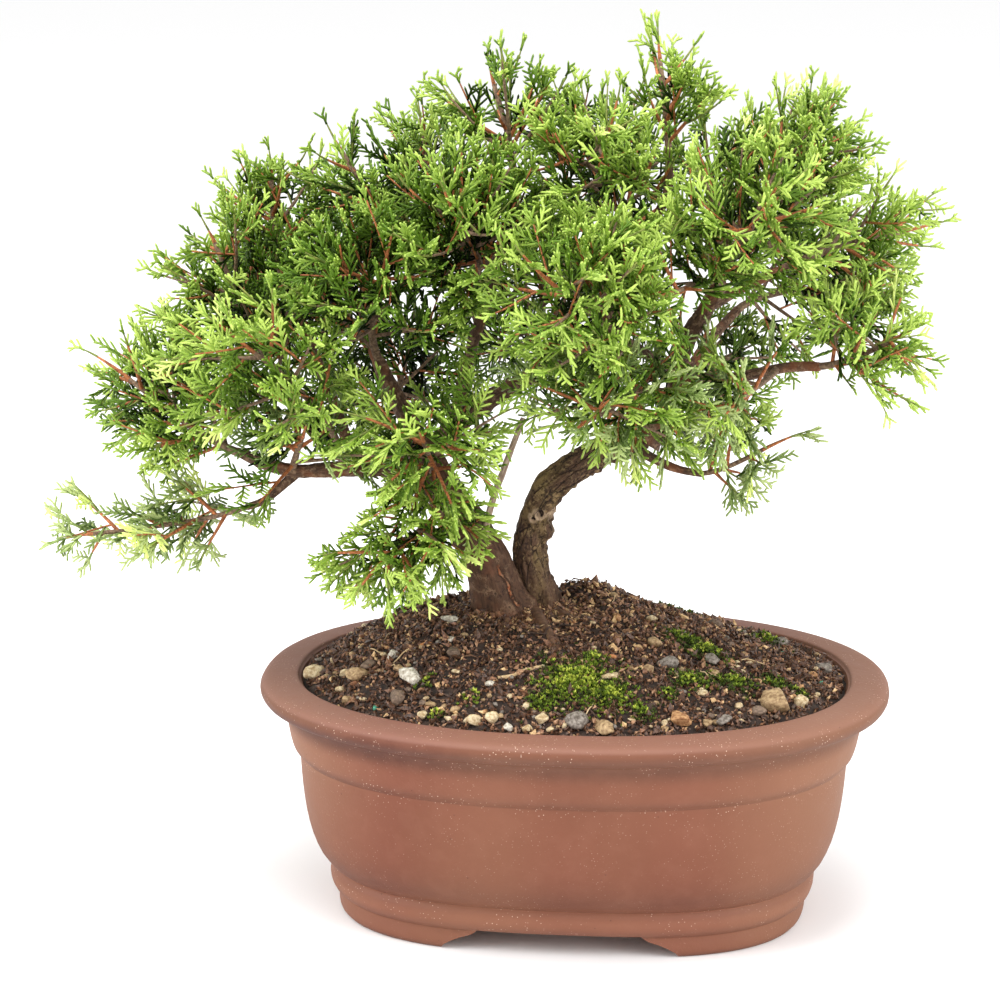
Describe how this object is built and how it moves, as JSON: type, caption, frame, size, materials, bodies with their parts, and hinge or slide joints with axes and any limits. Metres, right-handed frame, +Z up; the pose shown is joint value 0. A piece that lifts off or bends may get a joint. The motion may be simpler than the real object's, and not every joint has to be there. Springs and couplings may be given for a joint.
{
  "type": "shimpaku juniper bonsai",
  "caption": "Multi-trunk shimpaku juniper bonsai with a broad open crown of scale-leaf sprays, mounded soil and an oval unglazed clay pot on cut-away feet.",
  "frame": {"origin": "the middle of the underside of the box round the whole plant and pot, on the level the pot stands on", "axes": "+Z up, -Y towards the front of the tree as it was pictured, +X to the right seen from the front"},
  "size_m": [0.2864, 0.1648, 0.2865],
  "materials": {
    "pot_clay": "matte",
    "soil": "matte",
    "trunk_bark": "matte",
    "bough_bark": "matte",
    "foliage": "matte",
    "twig_bark": "matte",
    "pebbles": "matte",
    "moss": "matte"
  },
  "bodies": {
    "root": {"pot": "pot_clay", "soil": "soil", "left_trunk": "trunk_bark", "right_trunk": "trunk_bark", "right_leader": "bough_bark", "low_left_bough": "bough_bark", "left_runner": "bough_bark", "mid_left_bough": "bough_bark", "upper_left_bough": "bough_bark", "left_upright": "bough_bark", "middle_bough": "bough_bark", "apex_leader": "bough_bark", "centre_leader": "bough_bark", "right_runner": "bough_bark", "right_far_bough": "bough_bark", "right_up_bough": "bough_bark", "right_out_bough": "bough_bark", "front_right_bough": "bough_bark", "back_left_bough": "bough_bark", "back_right_bough": "bough_bark", "thin_stem": "bough_bark", "tail": "foliage", "left_tip": "foliage", "left_fan": "foliage", "left_underside": "foliage", "upper_left": "foliage", "left_crown": "foliage", "top_left": "foliage", "centre_left": "foliage", "centre": "foliage", "spike": "foliage", "top_right_centre": "foliage", "apex": "foliage", "right_top": "foliage", "right_upper": "foliage", "middle_right": "foliage", "bright_front": "foliage", "right": "foliage", "right_end": "foliage", "low_front": "foliage", "right_low": "foliage", "low_right": "foliage", "hanging_front": "foliage", "hanging_low": "foliage", "back_left": "foliage", "back_left_low": "foliage", "back_top_left": "foliage", "back_centre": "foliage", "back_top": "foliage", "back_right_top": "foliage", "back_right": "foliage", "back_right_low": "foliage"}
  },
  "joints": []
}
